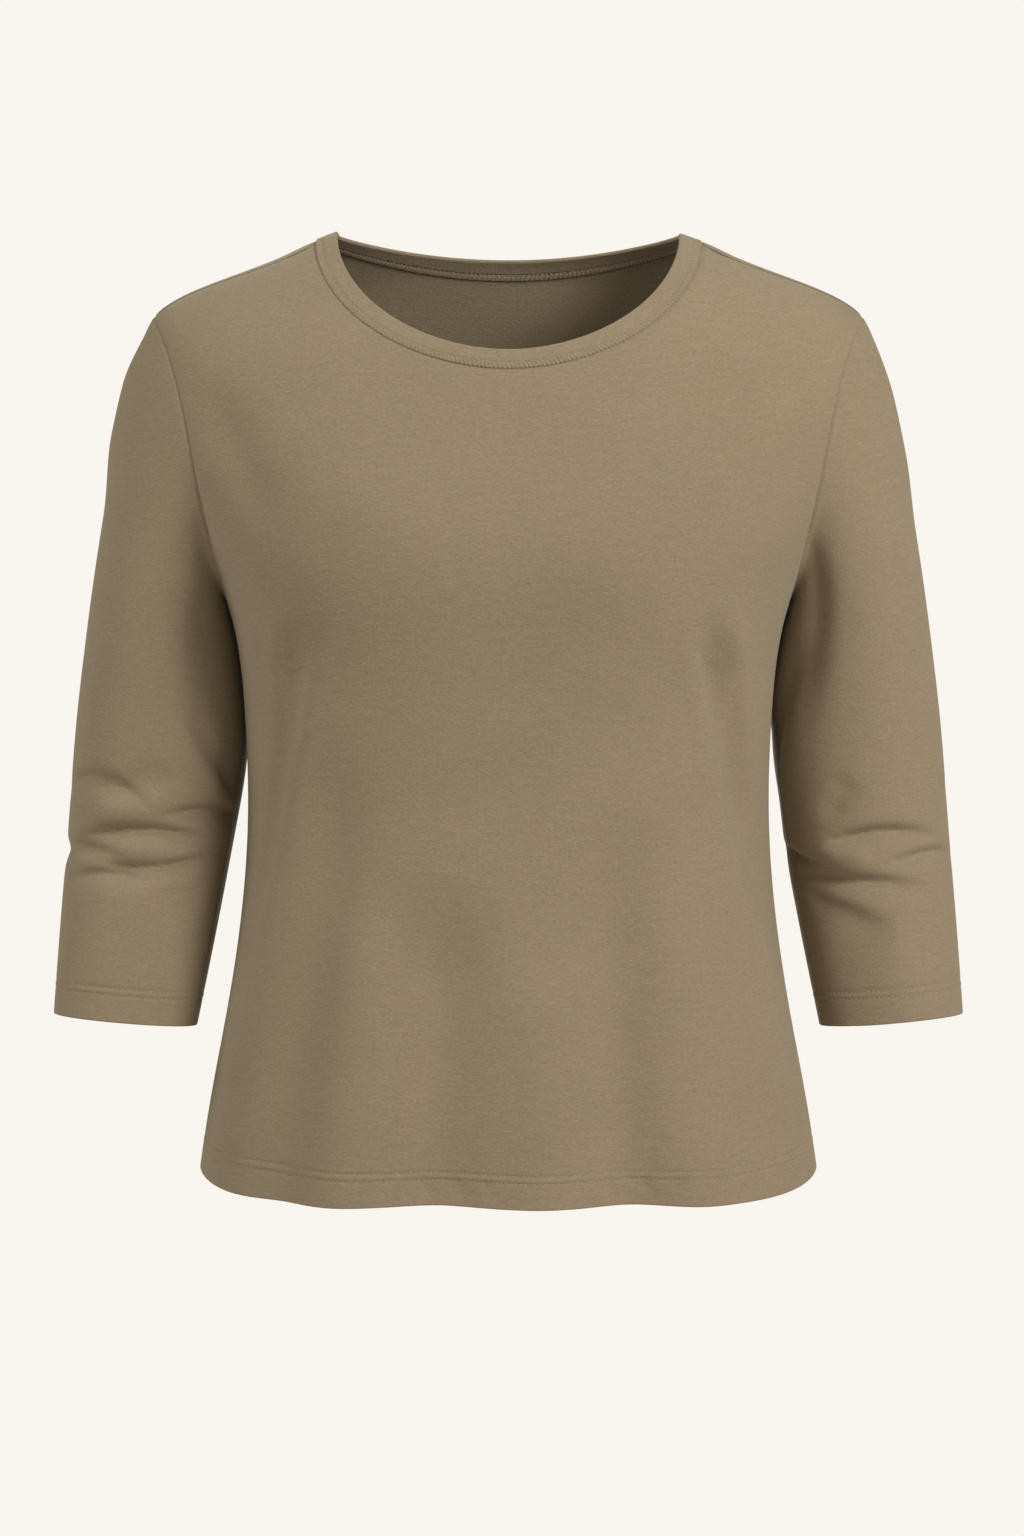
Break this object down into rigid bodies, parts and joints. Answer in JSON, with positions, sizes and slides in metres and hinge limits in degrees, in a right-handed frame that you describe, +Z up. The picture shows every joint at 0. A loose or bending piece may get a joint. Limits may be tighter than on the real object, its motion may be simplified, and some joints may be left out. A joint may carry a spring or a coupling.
{
  "type": "three-quarter sleeve top",
  "caption": "Scoop-neck jersey top with three-quarter set-in sleeves, bound neck and twin-needle hems, filled out as if worn, hollow and open at hem, neck and cuffs",
  "frame": {"origin": "on the centre plane, midway between the highest points of the neckband over the two shoulder seams, where a wearer's shoulders at the neck hold the top up", "axes": "+Z up, -Y towards the front of the top, +X towards the wearer's left sleeve"},
  "size_m": [0.576, 0.2679, 0.6059],
  "materials": {
    "jersey": "matte"
  },
  "bodies": {
    "root": {"front": "jersey", "back": "jersey", "sleeve_left": "jersey", "sleeve_right": "jersey", "neckband": "jersey"}
  },
  "joints": []
}
